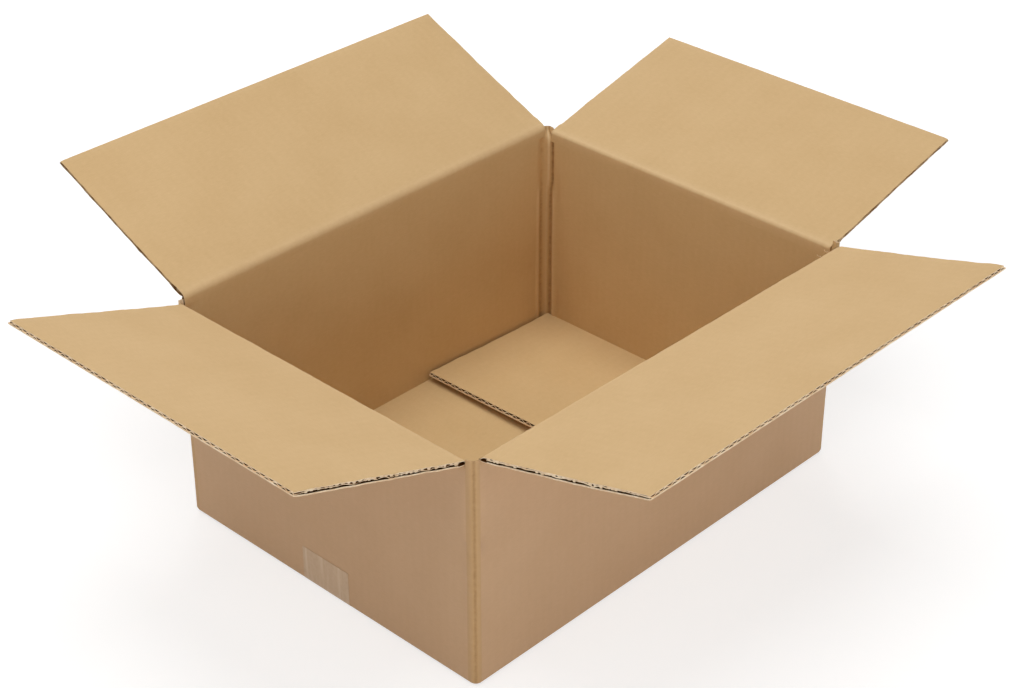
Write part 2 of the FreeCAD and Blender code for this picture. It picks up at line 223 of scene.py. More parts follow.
def clear_film(name, base, pale):
    """Clear tape pressed on brown paper: a little greyer, with a shine and small upright wrinkles."""
    material, tree = new_material(name)
    place = add_node(tree, "ShaderNodeTexCoord").outputs["Object"]
    wrinkled = add_node(tree, "ShaderNodeMapping", {"Vector": place,
                                                    "Scale": (1.0, 230.0, 16.0)}).outputs[0]
    folds = speckle(tree, wrinkled, 1.0, 3.0)
    grain = speckle(tree, place, 320.0, 4.0)
    colour = mix_colour(tree, ranged(tree, folds, 0.45, 0.72), base, pale)
    colour = mix_colour(tree, ranged(tree, grain, 0.35, 0.65, 0.0, 0.3), colour, pale)
    bump = add_node(tree, "ShaderNodeBump", {"Height": folds, "Strength": 0.5,
                                             "Distance": 0.0005}).outputs[0]
    shader = add_node(tree, "ShaderNodeBsdfPrincipled", {"Base Color": colour, "Normal": bump,
                                                         "Roughness": 0.42})
    shader.inputs["Coat Weight"].default_value = 0.22
    shader.inputs["Coat Roughness"].default_value = 0.22
    add_node(tree, "ShaderNodeOutputMaterial", {"Surface": shader.outputs[0]})
    return material


INNER_KRAFT = kraft("inner_kraft", tint(213, 179, 130), tint(221, 189, 142), tint(199, 163, 113),
                    tint(205, 168, 118), tint(160, 120, 76), 0.82, 0.05)
# A paler copy of the inner paper for the bottom flaps: painted light making up for the shade deep in the
# carton
BOTTOM_KRAFT_BRIGHTENED = kraft("bottom_kraft_brightened", tint(221, 189, 138), tint(228, 198, 149), tint(207, 173, 121),
                     tint(205, 168, 118), tint(160, 120, 76), 0.82, 0.05)
OUTER_KRAFT = kraft("outer_kraft", tint(206, 168, 129), tint(214, 178, 141), tint(193, 154, 115),
                    tint(196, 157, 109), tint(166, 128, 82), 0.60, 0.06, sheen_spots=0.1)
CUT_EDGE = paper_edge("cut_edge", tint(252, 231, 200), tint(234, 203, 164))
# A paler copy of the cut edge for the bottom flaps' cuts: painted light making up for the shade inside the
# carton
BOTTOM_EDGE_BRIGHTENED = paper_edge("bottom_edge_brightened", tint(255, 244, 222), tint(246, 222, 190))
CRUSHED_EDGE = paper_edge("crushed_edge", tint(206, 176, 136), tint(150, 114, 76))
# Fluting paper, brown of its own and darkened further as painted shade in the open flutes and inside the
# board
FLUTE_PAPER_SHADED = paper_edge("flute_paper_shaded", tint(122, 80, 42), tint(90, 56, 26), 0.85)
SEAM_FILM = clear_film("seam_film", tint(199, 165, 128), tint(214, 186, 152))


# Meshes

def slab(inner, outer, sheet, materials, wear=None, ring=False, bare=False):
    """Closed sheet between two grids of points. Materials: inner face, outer face, edges.

    A ring has no side edges. A bare sheet shows its edge's pale fibres on the border of its inner face.
    """
    rows, columns = inner.shape[:2]
    count = rows * columns
    faces, finishes = [], []
    for row in range(rows - 1):
        for column in range(columns - 1):
            corner = row * columns + column
            cell = (corner, corner + 1, corner + columns + 1, corner + columns)
            faces.append(cell)
            faces.append(tuple(count + index for index in reversed(cell)))
            border = row >= rows - 3 or column in (0, 1, columns - 3, columns - 2)
            finishes += [materials[2] if bare and border else materials[0], materials[1]]
    first = list(range(columns))
    last = [(rows - 1) * columns + column for column in range(columns - 1, -1, -1)]
    if ring:
        edges = list(zip(first, first[1:])) + list(zip(last, last[1:]))
    else:
        rim = first + [row * columns + columns - 1 for row in range(1, rows - 1)]
        rim += last + [row * columns for row in range(rows - 2, 0, -1)]
        edges = list(zip(rim, rim[1:] + rim[:1]))
    for start, finish in edges:
        faces.append((finish, start, start + count, finish + count))
        finishes.append(materials[2])
    if wear is None:
        wear = np.zeros((rows, columns))
    inner_painted_light, outer_painted_light = wear if isinstance(wear, tuple) else (wear, wear)
    return {"points": np.concatenate((inner.reshape(-1, 3), outer.reshape(-1, 3))),
            "faces": faces, "finishes": finishes,
            "sheet": np.concatenate((sheet.reshape(-1, 2), sheet.reshape(-1, 2))),
            "wear": np.concatenate((inner_painted_light.reshape(-1), outer_painted_light.reshape(-1)))}


def piece_mesh(name, sheets, matrix=None, sharp_angle=40):
    """One mesh of several closed sheets, put in place, with every face turned outwards."""
    points = np.concatenate([sheet["points"] for sheet in sheets])
    if matrix is not None:
        points = moved(points, matrix)
    materials, faces, finishes, start = [], [], [], 0
    for sheet in sheets:
        faces += [tuple(start + index for index in face) for face in sheet["faces"]]
        for material in sheet["finishes"]:
            if material not in materials:
                materials.append(material)
            finishes.append(materials.index(material))
        start += len(sheet["points"])
    mesh = bpy.data.meshes.new(name)
    mesh.from_pydata(points.tolist(), [], faces)
    corners = np.empty(len(mesh.loops), int)
    mesh.loops.foreach_get("vertex_index", corners)
    flat = np.concatenate([sheet["sheet"] for sheet in sheets])
    layer = mesh.uv_layers.new(name="sheet")
    layer.data.foreach_set("uv", flat[corners].astype(np.float32).ravel())
    # Level of painted light at each point: painted shade above zero, a painted highlight below
    attribute = mesh.attributes.new("fold_painted_light", "FLOAT", "POINT")
    levels = np.concatenate([sheet["wear"] for sheet in sheets])
    attribute.data.foreach_set("value", levels.astype(np.float32))
    for material in materials:
        mesh.materials.append(material)
    mesh.polygons.foreach_set("material_index", finishes)
    shell = bmesh.new()
    shell.from_mesh(mesh)
    bmesh.ops.remove_doubles(shell, verts=shell.verts, dist=1e-6)
    bmesh.ops.recalc_face_normals(shell, faces=shell.faces)
    shell.to_mesh(mesh)
    shell.free()
    mesh.shade_smooth()
    mesh.set_sharp_from_angle(angle=math.radians(sharp_angle))
    return mesh


def finish_piece(mesh, body, replaced=()):
    """Piece in the object's frame that rides on a body."""
    piece = bpy.data.objects.new(mesh.name, mesh)
    bpy.context.scene.collection.objects.link(piece)
    if replaced:
        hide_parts(*replaced)
    if body:
        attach(piece, body)
    return piece


def moved(points, matrix):
    """Points taken through a matrix."""
    turn = np.array(matrix)
    return points @ turn[:3, :3].T + turn[:3, 3]


def wall_frame(side):
    fold, facing = PANELS[side][:2]
    return Matrix.Translation(fold) @ Matrix.Rotation(math.radians(facing), 4, "Z")


def leaf_frame(side):
    lean = PANELS[side][2]
    return wall_frame(side) @ Matrix.Rotation(math.radians(-lean), 4, "X")


def handled(x, y, z, half, root, tip, seed, full, pinches):
    """Place of a board point after handling: pinched edges and a barely curved sheet.

    The pinches are the shares lost at the side cuts and at the tip. A point at height full from the
    middle comes nearer to it by the pinch, and the others in proportion.
    """
    edge = half - abs(x)
    side = 3.0 if x > 0 else 0.0
    along = z / MM
    pinch = pinches[0] + 0.26 * ripple(along * 0.055, side, 1.0, seed)
    pinch += 0.12 * ripple(along * 0.21, side, 2.0, seed)
    pinch = max(pinch, 0.02) * blend_step(1 - edge / PINCH_REACH)
    middle = WANDER * ripple(along * 0.09, side, 4.0, seed) * blend_step(1 - edge / WANDER_REACH)
    pinch *= blend_step((z - root) / (6 * MM))
    middle *= blend_step((z - root) / WANDER_REACH) * blend_step((tip - z) / WANDER_REACH)
    cut = pinches[1] + 0.08 * ripple(x / MM * 0.03, 5.0, 1.0, seed)
    cut += 0.05 * ripple(x / MM * 0.2, 5.0, 1.0, seed)
    pinch = max(pinch, cut * blend_step(1 - (tip - z) / (6 * MM)))
    y *= 1 - pinch * HALF_BOARD / full
    depth = (z - root) / (tip - root)
    # The short flaps bow inwards and the long ones outwards, so that they close over each other
    hollow = HOLLOW if seed < 2.5 else -HOLLOW
    bow = BOW * (ripple(x / MM * 0.011, along * 0.012, 6.0, seed) + hollow) * 4 * depth * (1 - depth)
    return x, y + middle + bow, z


def spread(low, high, spacing, fine=()):
    """Places from low to high, with extra ones at the given distances from both ends."""
    count = max(int(round((high - low) / spacing)), 2)
    places = set(np.linspace(low, high, count + 1).round(6))
    for distance in fine:
        places |= {round(low + distance, 6), round(high - distance, 6)}
    return np.array(sorted(places))


def liner(half, root, tip, near, far, seed, materials, offset, pinches, swell=0.0):
    """One flat paper of a fluted board, between two depths, with a slightly ragged outline.

    The cut can burst the paper, so that its near face swells by up to the given height.
    """
    outside = math.copysign(HALF_BOARD, near + far)
    ragged = seed + 0.37 * outside / HALF_BOARD
    across = spread(-half, half, 4 * MM, (0.6 * MM, 1.3 * MM, 2.4 * MM))
    along = spread(root, tip, 3 * MM, (0.6 * MM, 1.3 * MM))
    faces = []
    for depth in (near, far):
        grid = np.empty((len(along), len(across), 3))
        for row, z in enumerate(along):
            for column, x in enumerate(across):
                if column in (0, len(across) - 1):
                    x -= math.copysign(0.2 * MM * (1 + ripple(z / MM * 0.5, x / MM, 3.0, ragged)), x)
                if row == len(along) - 1:
                    z = tip - 0.12 * MM * (1 + ripple(x / MM * 0.5, 9.0, 0.0, ragged))
                place = Vector(handled(x, outside, z, half, root, tip, seed, HALF_BOARD, pinches))
                burst = 0.0
                if depth == near and swell:
                    burst = blend_step(1 - min(half - abs(x), tip - z) / (1.3 * MM))
                    burst *= swell * (1 + 0.35 * ripple(x / MM * 0.4, z / MM * 0.4, 7.0, seed))
                grid[row, column] = place + Vector((0, depth - outside - burst, 0))
        faces.append(grid)
    flat = faces[0][:, :, [0, 2]] + np.array(offset)
    return slab(faces[0], faces[1], flat, materials, bare=bool(swell))


def flute_tree():
    """Geometry nodes: one wave of paper across a board, its phase wandering near the sides."""
    tree = bpy.data.node_groups.new("flute_wave", "GeometryNodeTree")
    tree.interface.new_socket("Geometry", in_out="OUTPUT", socket_type="NodeSocketGeometry")
    for label, kind, default in (
            ("Half Width", "NodeSocketFloat", 0.198), ("Root", "NodeSocketFloat", 0.008),
            ("Tip", "NodeSocketFloat", 0.154), ("Pitch", "NodeSocketFloat", FLUTE_PITCH),
            ("Wave Height", "NodeSocketFloat", 0.0015), ("Wander", "NodeSocketFloat", 1.0),
            ("Seed", "NodeSocketFloat", 0.0), ("Points Across", "NodeSocketInt", 600),
            ("Points Along", "NodeSocketInt", 24), ("Paper", "NodeSocketMaterial", None)):
        socket = tree.interface.new_socket(label, in_out="INPUT", socket_type=kind)
        if default is not None:
            socket.default_value = default
    entry = tree.nodes.new("NodeGroupInput").outputs
    width = math_node(tree, "MULTIPLY", entry["Half Width"], 2.0)
    length = math_node(tree, "SUBTRACT", entry["Tip"], entry["Root"])
    grid = add_node(tree, "GeometryNodeMeshGrid", {
        "Size X": width, "Size Y": length, "Vertices X": entry["Points Across"],
        "Vertices Y": entry["Points Along"]}).outputs[0]
    position = tree.nodes.new("GeometryNodeInputPosition").outputs[0]
    place = add_node(tree, "ShaderNodeSeparateXYZ", {0: position})
    across, along = place.outputs[0], place.outputs[1]
    # Distance from the nearer side, as a fade over the outermost flutes
    edge = math_node(tree, "SUBTRACT", entry["Half Width"], math_node(tree, "ABSOLUTE", across))
    fade = add_node(tree, "ShaderNodeMapRange", {0: edge, 1: 0.0, 2: 0.014, 3: 1.0, 4: 0.0},
                    clamp=True).outputs[0]
    spot = add_node(tree, "ShaderNodeCombineXYZ", {
        0: math_node(tree, "MULTIPLY", along, 60.0), 1: math_node(tree, "SIGN", across),
        2: entry["Seed"]}).outputs[0]
    wander = speckle(tree, spot, 1.0, 2.0)
    wander = math_node(tree, "MULTIPLY", math_node(tree, "SUBTRACT", wander, 0.5), 14.0)
    shift = math_node(tree, "MULTIPLY", math_node(tree, "MULTIPLY", wander, fade), entry["Wander"])
    turn = math_node(tree, "DIVIDE", math_node(tree, "MULTIPLY", across, math.tau), entry["Pitch"])
    wave = math_node(tree, "SINE", math_node(tree, "ADD", turn, shift))
    depth = math_node(tree, "MULTIPLY", wave, entry["Wave Height"])
    centre = math_node(tree, "MULTIPLY", math_node(tree, "ADD", entry["Tip"], entry["Root"]), 0.5)
    raised = math_node(tree, "ADD", along, centre)
    bent = add_node(tree, "ShaderNodeCombineXYZ", {0: across, 1: depth, 2: raised}).outputs[0]
    waved = add_node(tree, "GeometryNodeSetPosition", {"Geometry": grid, "Position": bent}).outputs[0]
    real = add_node(tree, "GeometryNodeRealizeInstances", {0: waved}).outputs[0]
    finish = {"Geometry": real, "Material": entry["Paper"]}
    covered = add_node(tree, "GeometryNodeSetMaterial", finish).outputs[0]
    add_node(tree, "NodeGroupOutput", {0: covered})
    return tree


FLUTE_TREE = flute_tree()


def plain_mesh(holder):
    """Mesh of an object with its modifiers applied."""
    bpy.context.view_layer.update()
    graph = bpy.context.evaluated_depsgraph_get()
    return bpy.data.meshes.new_from_object(holder.evaluated_get(graph))


def flute_sheet(half, root, tip, seed, offset, pinches, cut):
    """Waved paper between the two liners of a board."""
    holder = bpy.data.objects.new("flutes", bpy.data.meshes.new("flutes"))
    bpy.context.scene.collection.objects.link(holder)
    modifier = holder.modifiers.new("flutes", "NODES")
    modifier.node_group = FLUTE_TREE
    across = int(round(2 * half / FLUTE_PITCH * 12)) + 1
    along = int(round((tip - root) / (4 * MM))) + 1
    settings = {"Half Width": half, "Root": root, "Tip": tip, "Pitch": FLUTE_PITCH,
                "Wave Height": WAVE_HEIGHT, "Wander": 1.0, "Seed": seed,
                "Points Across": across, "Points Along": along, "Paper": FLUTE_PAPER_SHADED}
    for item in FLUTE_TREE.interface.items_tree:
        if item.in_out == "INPUT":
            modifier[item.identifier] = settings[item.name]
    waves = plain_mesh(holder)
    bpy.data.objects.remove(holder)
    places = np.array([vertex.co for vertex in waves.vertices])
    bpy.data.meshes.remove(waves)
    order = np.lexsort((places[:, 2].round(6), places[:, 0].round(6)))
    centre = places[order].reshape(across, along, 3)
    # The cut swells the paper
    edge = np.minimum(half - np.abs(centre[:, :, 0]), tip - centre[:, :, 2])
    swelling = 0.2 * MM * np.clip(1 - edge / (3 * MM), 0, 1)
    centre[:, :, 1] *= 1 - swelling / WAVE_HEIGHT
    for index in np.ndindex(across, along):
        centre[index] = handled(*centre[index], half, root, tip, seed, WAVE_HEIGHT, pinches)
    run = np.gradient(centre, axis=0)
    normal = np.stack((-run[:, :, 1], run[:, :, 0], np.zeros_like(edge)), axis=-1)
    normal *= ((MEDIUM / 2 + swelling) / np.hypot(run[:, :, 0], run[:, :, 1]))[:, :, None]
    return slab(centre - normal, centre + normal, centre[:, :, [0, 2]] + np.array(offset),
                (FLUTE_PAPER_SHADED, FLUTE_PAPER_SHADED, cut))


def torn_bits(half, root, tip, seed, pinches):
    """Fuzz torn from the papers along both side cuts, hanging across the open flutes."""
    bits = []
    for side in (-1, 1):
        z = root + 2 * MM
        number = 0
        while z < tip - 8 * MM:
            number += 1
            chance = ripple(number * 3.7, side * 2.1, 11.0, seed)
            width = (3.4 + 3.0 * chance) * MM
            drop = (1.5 + 1.4 * ripple(number * 2.3, side * 4.0, 12.0, seed)) * MM
            inner = np.empty((4, 5, 3))
            for row in range(4):
                share = row / 3
                for column in range(5):
                    across = (column / 4 - 0.5) * (1 - 0.45 * share)
                    curl = 0.5 * MM * share * share + 0.25 * MM * ripple(number, row, column, seed)
                    x, y, height = handled(side * (half - 0.75 * MM), -HALF_BOARD, z, half, root, tip,
                                           seed, HALF_BOARD, pinches)
                    inner[row, column] = (x + side * curl * 0.5, y + 0.3 * MM + drop * share,
                                          height + across * width)
            outer = inner - np.array((side * 0.32 * MM, 0, 0))
            if chance > -0.4:
                bits.append(slab(inner, outer, inner[:, :, [0, 2]], (CUT_EDGE, CUT_EDGE, CUT_EDGE)))
            z += (4.8 + 4.0 * ripple(number * 1.9, side, 13.0, seed)) * MM
    return bits


def fluted_board(half, root, tip, seed, offset, pinches, finish, swell):
    """Board of two liners with a waved paper between them. The inner face is at -Y.

    Finish: its inner face and its cuts. A blunt cut leaves the outer liner a little longer than the
    rest, with an edge that swells by the given height and torn bits of paper beside it.
    """
    paper, edge = finish
    inset = FRAYED_INSET if swell else PRESSED_INSET
    sheets = [liner(half - inset[0], root, tip - inset[1], -HALF_BOARD, -HALF_BOARD + LINER, seed,
                    (paper, FLUTE_PAPER_SHADED, edge), offset, pinches),
              liner(half, root, tip, HALF_BOARD - LINER, HALF_BOARD, seed,
                    (FLUTE_PAPER_SHADED, OUTER_KRAFT, edge), offset, pinches, swell=swell),
              flute_sheet(half - inset[0] - 0.1 * MM, root, tip - inset[1] - 0.15 * MM, seed, offset,
                          pinches, edge)]
    return sheets + (torn_bits(half, root, tip, seed, pinches) if swell else [])


# The four leaves

for number, side in enumerate(PANELS):
    _, _, lean, half, length, offset = PANELS[side]
    edge, swell = (CUT_EDGE, TOP_SWELL) if side in FRAYED else (CRUSHED_EDGE, 0.0)
    board = fluted_board(half, FOLD_REACH, length, number + 1.0, offset, (SIDE_PINCH[side], TIP_PINCH),
                         (INNER_KRAFT, edge), swell)
    for sheet in board:
        share = (sheet["points"][:, 2] - FOLD_REACH) / (length - FOLD_REACH)
        sheet["points"][:, 1] -= TIP_CURL[side] * share ** 2 * (2 - share)
    mesh = piece_mesh(f"{side}_flap_board", board, leaf_frame(side))
    finish_piece(mesh, f"{side}_leaf", (f"{side}_flap",))


# The folds. An outline is a row of (outward, up, developed) places from the wall to the flap.

# Outer face beside the pressed crease, as depth from the middle and distance from the fold
PRESSED = ((2.0 * MM, 8.0 * MM), (2.0 * MM, 5.0 * MM), (1.92 * MM, 3.6 * MM), (1.65 * MM, 2.1 * MM))
PRESSED_MIDDLE = 1.5 * MM


def flap_place(lean, depth, along):
    return (depth * math.cos(lean) + along * math.sin(lean),
            -depth * math.sin(lean) + along * math.cos(lean), along)


def inner_outline(lean, full_radius, depth, steps):
    """Soft round of the inner paper, a depth below its face."""
    radius = full_radius - depth
    reach = (full_radius - HALF_BOARD) * math.tan(lean / 2)
    between = (FOLD_REACH + reach) / 2
    face = -HALF_BOARD + depth
    rows = [(face, -FOLD_REACH, -FOLD_REACH), (face, -between, -between)]
    for step in range(steps + 1):
        angle = lean * step / steps
        rows.append((-HALF_BOARD + full_radius - radius * math.cos(angle),
                     -reach + radius * math.sin(angle), reach * (2 * step / steps - 1)))
    return rows + [flap_place(lean, face, between), flap_place(lean, face, FOLD_REACH)]


def outer_outline(lean, depth):
    """Pressed crease of the outer paper, a depth below its face."""
    rows = [(face - depth, -along, -along) for face, along in PRESSED]
    middle = PRESSED_MIDDLE - depth
    rows.append((middle * math.cos(lean / 2), -middle * math.sin(lean / 2), 0.0))
    return rows + [flap_place(lean, face - depth, along) for face, along in reversed(PRESSED)]


def fold_sheet(side, face, back, inset, materials, pull, bend_painted_light=0.0):
    """Closed sheet along a fold between two outlines. The pull closes the crease at its ends."""
    _, _, lean, half, _, offset = PANELS[side]
    lean = math.radians(lean)
    across = spread(-half + inset, half - inset, 3 * MM, (1.0 * MM, 2.0 * MM))
    grids = np.empty((len(face), len(across), 3)), np.empty((len(face), len(across), 3))
    sheet = np.empty((len(face), len(across), 2))
    wear = np.empty((len(face), len(across)))
    seed = offset[0]
    for column, x in enumerate(across):
        end = blend_step(1 - (half - abs(x)) / (9 * MM))
        wobble = ripple(x / MM * 0.05, 0.0, 5.0, seed) + 0.6 * ripple(x / MM * 0.22, 3.0, 5.0, seed)
        for row, (_, _, developed) in enumerate(face):
            bend = math.exp(-(developed / (4 * MM)) ** 2)
            for grid, outline, share in ((grids[0], face, pull[0]), (grids[1], back, pull[1])):
                outward, up, _ = outline[row]
                shift = 0.30 * MM * wobble * bend - share * end * bend
                rough = 0.0
                if column in (0, len(across) - 1):
                    rough = 0.2 * MM * (1 + ripple(developed / MM * 0.6, x / MM, 1.0, seed))
                    rough = math.copysign(rough, x)
                grid[row, column] = (x - rough, outward + shift * math.cos(lean / 2),
                                     up - shift * math.sin(lean / 2))
            sheet[row, column] = (x + offset[0], developed + offset[1])
            # Painted light along the bend: a painted highlight below zero, a darker, yellower painted tone
            # above
            wear[row, column] = bend_painted_light * bend
    return slab(grids[0], grids[1], sheet, materials, wear)


for side in PANELS:
    lean = math.radians(PANELS[side][2])
    closing = 0.9 * MM
    core = LINER + 0.15 * MM
    # How far in from its ends the crease is filled with crushed paper
    filled = 3.5 * MM if side in FRAYED else 0.9 * MM
    radius = FOLD_RADIUS[side]
    # The inner round gets a painted highlight along its bend, and the outer crease a darker, yellower tone
    # painted where the bend loses the paper's sheen
    sheets = [
        fold_sheet(side, inner_outline(lean, radius, 0.0, 10), inner_outline(lean, radius, LINER, 10),
                   0.35 * MM, (INNER_KRAFT, FLUTE_PAPER_SHADED, CUT_EDGE), (0.0, 0.0), -0.35),
        fold_sheet(side, outer_outline(lean, LINER), outer_outline(lean, 0.0), 0.0,
                   (FLUTE_PAPER_SHADED, OUTER_KRAFT, CUT_EDGE), (closing, closing), 0.5),
        fold_sheet(side, inner_outline(lean, radius, core, 4), outer_outline(lean, core), filled,
                   (FLUTE_PAPER_SHADED, FLUTE_PAPER_SHADED, CRUSHED_EDGE), (0.0, closing)),
    ]
    place = wall_frame(side)
    fold = finish_piece(piece_mesh(f"{side}_fold", sheets, place), None)
    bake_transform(fold)


# The walls, one ring with four creased corners

# Corner of the ring's inner face, as distances from the two walls: a bead between two grooves.
# The grooves lie closer together and the paper beside them buckles below BEAD_BREAK.
BEAD_ABOVE = ((0.0, 10.5), (0.0, 8.6), (-0.8, 7.4), (-1.8, 6.4), (-1.6, 5.3), (0.4, 4.7), (2.2, 4.3),
              (2.6, 3.2), (2.6, 1.9), (2.8, 0.7), (3.6, -0.6), (5.0, -1.4), (6.8, -1.5), (9.0, -0.7),
              (12.0, 0.0))
BEAD_BELOW = ((0.0, 11.5), (0.4, 9.6), (0.9, 8.2), (0.2, 6.4), (-1.4, 4.6), (-0.6, 3.4), (1.8, 2.9),
              (2.2, 1.6), (2.4, 0.6), (3.0, -0.6), (4.6, -1.7), (6.4, -1.8), (8.6, -0.2), (11.4, 0.7),
              (14.0, 0.0))
BEAD_BREAK = 138 * MM
BEAD_REACH = 14 * MM
# How dark with painted shade in the grooves, or how pale with a painted highlight on the ridges below zero,
# each place of the bead is
BEAD_PAINTED_LIGHT_ABOVE = (0.0, 0.0, 0.6, 1.0, 1.0, 0.5, -0.8, -0.5, 0.0, 0.1, 0.5, 0.7, 0.6, 0.3, 0.0)
BEAD_PAINTED_LIGHT_BELOW = (0.0, -0.1, -0.6, 0.2, 1.0, 0.9, 0.1, -0.3, 0.0, 0.3, 0.8, 0.8, 0.3, -0.6, 0.0)
# Corner of its outer face: how far the scored middle stays behind a true round, and its painted light: a
# yellower tone where the bend loses the walls' sheen, with painted shade along the score
CORNER_SCORE = (0.0, 0.0, 0.0, 0.05, 0.08, 0.15, 0.4, 0.75, 0.4, 0.15, 0.08, 0.05, 0.0, 0.0, 0.0)
SCORE_PAINTED_LIGHT = (0.42, 0.42, 0.45, 0.5, 0.5, 0.65, 0.9, 1.0, 0.9, 0.65, 0.5, 0.5, 0.45, 0.42, 0.42)
# Height of each corner's cut top, by the signs of its place. The one at the left and back is torn lower.
COLUMN_TOPS = {(1, -1): 193 * MM, (1, 1): 193 * MM, (-1, 1): 187 * MM, (-1, -1): 193 * MM}
HUMP = 0.5 * MM


def ring_columns():
    """Columns round the carton, each with its outer centre, spoke, inner places, sheet place and top."""
    columns = []
    last = len(BEAD_ABOVE) - 1
    travelled = 0.0
    for (sign_x, sign_y), column_top in COLUMN_TOPS.items():
        centre = Vector((sign_x * (OUTER_X - CORNER_RADIUS), sign_y * (OUTER_Y - CORNER_RADIUS), 0))
        first = math.atan2(sign_y, sign_x) - math.pi / 4
        for step in range(last + 1):
            angle = first + math.pi / 2 * step / last
            faces = []
            for near, far in (BEAD_ABOVE[step], BEAD_BELOW[step]):
                if sign_x * sign_y < 0:
                    near, far = far, near
                faces.append(Vector((sign_x * (INNER_X - near * MM), sign_y * (INNER_Y - far * MM), 0)))
            columns.append({
                "centre": centre, "spoke": Vector((math.cos(angle), math.sin(angle), 0)), "faces": faces,
                "travelled": travelled, "top": column_top - HUMP * (2 * step / last - 1) ** 2,
                "corner": 1.0, "score": CORNER_SCORE[step] * MM,
                "bead": (BEAD_PAINTED_LIGHT_ABOVE[step], BEAD_PAINTED_LIGHT_BELOW[step]), "bend_painted_light": SCORE_PAINTED_LIGHT[step]})
            travelled += CORNER_RADIUS * math.pi / 2 / last
        along_y = sign_x * sign_y < 0
        outer_half = OUTER_Y if along_y else OUTER_X
        half = outer_half - CORNER_RADIUS
        cut = min(148 * MM if along_y else 198 * MM, half - 0.1 * MM)
        drawn_in = cut - (outer_half - BOARD - BEAD_REACH)
        top = (SHORT_FOLD if along_y else LONG_FOLD) - FOLD_REACH
        places = [(place, top, 0.0) for place in np.linspace(cut, -cut, 50)]
        if half - cut > MM:
            places.insert(0, (cut + 0.15 * MM, column_top - HUMP, 0.9))
            places.append((-cut - 0.15 * MM, COLUMN_TOPS[sign_x, -sign_y] - HUMP, 0.9))
        for place, height, corner in places:
            inside = place - math.copysign(drawn_in * min(abs(place) / cut, 1.0) ** 6, place)
            if along_y:
                outward = Vector((sign_x, 0, 0))
                start = Vector((sign_x * (OUTER_X - CORNER_RADIUS), sign_y * place, 0))
                face = Vector((sign_x * INNER_X, sign_y * inside, 0))
            else:
                outward = Vector((0, sign_y, 0))
                start = Vector((sign_y * place, sign_y * (OUTER_Y - CORNER_RADIUS), 0))
                face = Vector((sign_y * inside, sign_y * INNER_Y, 0))
            # The columns beside a slot get part of the corner's painted tone
            columns.append({"centre": start, "spoke": outward, "faces": [face, face],
                            "travelled": travelled + half - place, "top": height, "corner": corner,
                            "score": 0.0, "bead": (0.0, 0.0), "bend_painted_light": 0.4 * corner})
        travelled += 2 * half
    columns.append(dict(columns[0], travelled=travelled))
    return columns


def carton_walls():
    columns = ring_columns()
    feet = ((4.0, 0.25), (2.3, 0.5), (0.9, 1.6), (0.15, 3.2), (0.0, 4.6))
    heights = (16, 30, 46, 62, 78, 94, 110, 122, 128, 134, 140, 146, 156, 166, 172)
    shares = (0.0, 0.25, 0.5, 0.7, 0.82, 0.92, 1.0)
    rows = len(feet) + len(heights) + len(shares)
    inner = np.empty((rows, len(columns), 3))
    outer = np.empty((rows, len(columns), 3))
    sheet = np.empty((rows, len(columns), 2))
    inner_painted_light = np.zeros((rows, len(columns)))
    outer_painted_light = np.zeros((rows, len(columns)))
    for index, column in enumerate(columns):
        spoke, top = column["spoke"], column["top"]
        corner, travelled = column["corner"], column["travelled"]
        span = top - 178 * MM if corner else 6 * MM
        places = [(inset * MM, z * MM) for inset, z in feet]
        places += [(0.0, z * MM) for z in heights]
        places += [(0.0, top - span * (1 - share)) for share in shares]
        for row, (inset, z) in enumerate(places):
            wander = ripple(travelled / MM * 0.02, z / MM * 0.03, 8.0)
            give = 0.35 * MM * wander * blend_step((z - 10 * MM) / (30 * MM)) * (1 - corner)
            give *= blend_step((top - z) / (25 * MM))
            # The cut top of a corner thins to an edge that rolls over outwards
            thinned = blend_step((z - (top - 10 * MM)) / (7.5 * MM)) if corner else 0.0
            rolled = blend_step((z - (top - 1.6 * MM)) / (1.6 * MM)) if corner else 0.0
            score = column["score"] * blend_step((z - 6 * MM) / (20 * MM))
            reach = CORNER_RADIUS - inset - score - 0.5 * MM * rolled + give
            outer[row, index] = column["centre"] + spoke * reach + Vector((0, 0, z))
            above = blend_step((z - BEAD_BREAK) / (16 * MM) + 0.5)
            face = column["faces"][1].lerp(column["faces"][0], above) + spoke * give
            if corner:
                face += spoke * 0.25 * MM * ripple(z / MM * 0.06, travelled / MM * 0.3, 2.0)
            thin = column["centre"] + spoke * (CORNER_RADIUS - 1.5 * MM + 0.5 * MM * rolled)
            inner[row, index] = face.lerp(thin, thinned) + Vector((0, 0, z))
            sheet[row, index] = (travelled + 5.0, z)
            # The inner face gets the bead's painted shade and highlights, and the outer face the corner's
            # painted tone, darkening near its foot as a painted contact shadow
            inner_painted_light[row, index] = (1 - above) * column["bead"][1] + above * column["bead"][0]
            outer_painted_light[row, index] = max(column["bend_painted_light"], 0.95 * blend_step(1.3 - z / (3 * MM)))
    ring = slab(inner, outer, sheet, (INNER_KRAFT, OUTER_KRAFT, CRUSHED_EDGE), (inner_painted_light, outer_painted_light),
                ring=True)
    return piece_mesh("carton_walls", [ring] + corner_curls())


